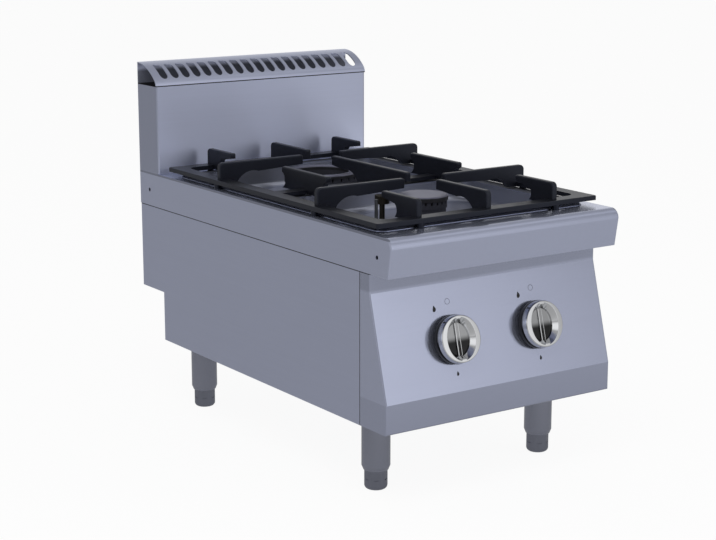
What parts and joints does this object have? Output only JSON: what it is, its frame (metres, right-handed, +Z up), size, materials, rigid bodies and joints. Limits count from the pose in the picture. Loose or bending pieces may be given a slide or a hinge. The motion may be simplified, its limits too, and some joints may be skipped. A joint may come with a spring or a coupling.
{
  "type": "countertop gas stove",
  "caption": "Stainless countertop gas stove on adjustable legs: open burners under a cast grate, tilted panel with push-and-turn knobs, flue riser with a slotted curved grille.",
  "frame": {"origin": "on the ground under the middle of the stove's overall outline, feet screwed fully in", "axes": "+X to the right as seen from the front, +Y from the knobs to the flue, +Z up"},
  "size_m": [0.4, 0.702, 0.554],
  "materials": {
    "stainless": "fine brushed stainless sheet",
    "well_steel": "bright pressed stainless",
    "fixing_steel": "bright zinc",
    "leg_steel": "polished stainless tube",
    "foot_steel": "satin stainless",
    "galvanised": "galvanised sheet",
    "burner_iron": "raw casting",
    "burner_cap": "satin light grey",
    "grate_iron": "matt black enamelled casting",
    "brass": "machined",
    "copper": "drawn tube",
    "pipe_steel": "zinc-plated pipe",
    "bezel_black": "satin black",
    "knob_chrome": "satin chrome"
  },
  "bodies": {
    "casing": {"hob_top": "stainless", "left_side_panel": "stainless", "right_side_panel": "stainless", "back_panel": "stainless", "base_pan": "stainless", "control_panel": "stainless", "flue_riser": "stainless", "flue_back": "stainless", "flue_grille": "stainless", "front_burner_well": "well_steel", "rear_burner_well": "well_steel", "back_panel_screws": "fixing_steel", "flue_screws": "fixing_steel", "leg_screws": "fixing_steel", "front_left_leg": "leg_steel", "front_right_leg": "leg_steel", "rear_left_leg": "leg_steel", "rear_right_leg": "leg_steel", "front_burner_bracket": "galvanised", "rear_burner_bracket": "galvanised", "manifold_clips": "galvanised", "front_burner_body": "burner_iron", "rear_burner_body": "burner_iron", "front_burner_crown": "burner_iron", "rear_burner_crown": "burner_iron", "front_pilot": "brass", "rear_pilot": "brass", "front_injector": "brass", "rear_injector": "brass", "left_gas_tap": "brass", "right_gas_tap": "brass", "front_thermocouple": "copper", "rear_thermocouple": "copper", "front_pilot_tube": "copper", "rear_pilot_tube": "copper", "front_supply_tube": "copper", "rear_supply_tube": "copper", "gas_manifold": "pipe_steel", "gas_inlet_pipe": "pipe_steel", "gas_inlet_locknut": "brass", "left_knob_bezel": "bezel_black", "right_knob_bezel": "bezel_black"},
    "left_plunger": {"left_tap_plunger": "brass"},
    "right_plunger": {"right_tap_plunger": "brass"},
    "left_knob": {"left_knob": "knob_chrome", "left_knob_skirt": "bezel_black", "left_tap_spindle": "brass"},
    "right_knob": {"right_knob": "knob_chrome", "right_knob_skirt": "bezel_black", "right_tap_spindle": "brass"},
    "grate": {"pot_grate": "grate_iron", "grate_feet": "grate_iron"},
    "front_cap": {"front_burner_cap": "burner_cap"},
    "rear_cap": {"rear_burner_cap": "burner_cap"},
    "front_left_foot": {"front_left_foot": "foot_steel"},
    "front_right_foot": {"front_right_foot": "foot_steel"},
    "rear_left_foot": {"rear_left_foot": "foot_steel"},
    "rear_right_foot": {"rear_right_foot": "foot_steel"}
  },
  "joints": [
    {"name": "left_knob_push", "type": "slide", "parent": "casing", "child": "left_plunger", "axis": [0, 0.9659, -0.2588], "range_m": [0, 0.004], "stiffness_N_per_m": 1500, "springref_m": -0.004},
    {"name": "left_knob_turn", "type": "hinge", "parent": "left_plunger", "child": "left_knob", "pos_m": [-0.074, -0.32145, 0.22169], "axis": [0, -0.9659, 0.2588], "range_deg": [0, 180]},
    {"name": "right_knob_push", "type": "slide", "parent": "casing", "child": "right_plunger", "axis": [0, 0.9659, -0.2588], "range_m": [0, 0.004], "stiffness_N_per_m": 1500, "springref_m": -0.004},
    {"name": "right_knob_turn", "type": "hinge", "parent": "right_plunger", "child": "right_knob", "pos_m": [0.074, -0.32145, 0.22169], "axis": [0, -0.9659, 0.2588], "range_deg": [0, 180]},
    {"name": "grate_lift", "type": "slide", "parent": "casing", "child": "grate", "axis": [0, 0, 1], "range_m": [0, 0.15]},
    {"name": "front_cap_lift", "type": "slide", "parent": "casing", "child": "front_cap", "axis": [0, 0, 1], "range_m": [0, 0.006]},
    {"name": "rear_cap_lift", "type": "slide", "parent": "casing", "child": "rear_cap", "axis": [0, 0, 1], "range_m": [0, 0.006]},
    {"name": "front_left_level", "type": "slide", "parent": "casing", "child": "front_left_foot", "axis": [0, 0, -1], "range_m": [0, 0.025]},
    {"name": "front_right_level", "type": "slide", "parent": "casing", "child": "front_right_foot", "axis": [0, 0, -1], "range_m": [0, 0.025]},
    {"name": "rear_left_level", "type": "slide", "parent": "casing", "child": "rear_left_foot", "axis": [0, 0, -1], "range_m": [0, 0.025]},
    {"name": "rear_right_level", "type": "slide", "parent": "casing", "child": "rear_right_foot", "axis": [0, 0, -1], "range_m": [0, 0.025]}
  ]
}
